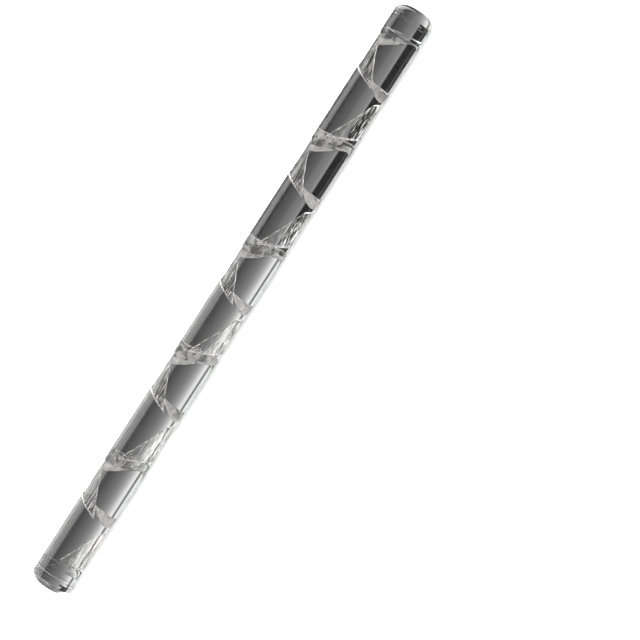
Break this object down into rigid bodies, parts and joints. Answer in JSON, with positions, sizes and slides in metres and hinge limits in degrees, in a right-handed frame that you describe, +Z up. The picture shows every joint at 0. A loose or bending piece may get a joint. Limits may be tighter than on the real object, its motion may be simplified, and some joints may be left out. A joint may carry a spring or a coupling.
{
  "type": "texture rolling pin",
  "caption": "Slim clear acrylic rolling pin with sunk tread-plate lozenges all round and rounded bonded end caps, for pressing a raised pattern into clay.",
  "frame": {"origin": "on the resting plane, under the middle of the pin as it lies on its side", "axes": "+X along the pin towards the end with the groove, +Z up from the resting plane"},
  "size_m": [0.32, 0.02, 0.02],
  "materials": {
    "barrel_acrylic": "clear cast acrylic, polished outside, rough in the floors of the sunk lozenges",
    "end_cap_acrylic": "clear cast acrylic, polished"
  },
  "bodies": {
    "root": {"patterned_barrel": "barrel_acrylic", "end_cap_left": "end_cap_acrylic", "end_cap_right": "end_cap_acrylic"}
  },
  "joints": []
}
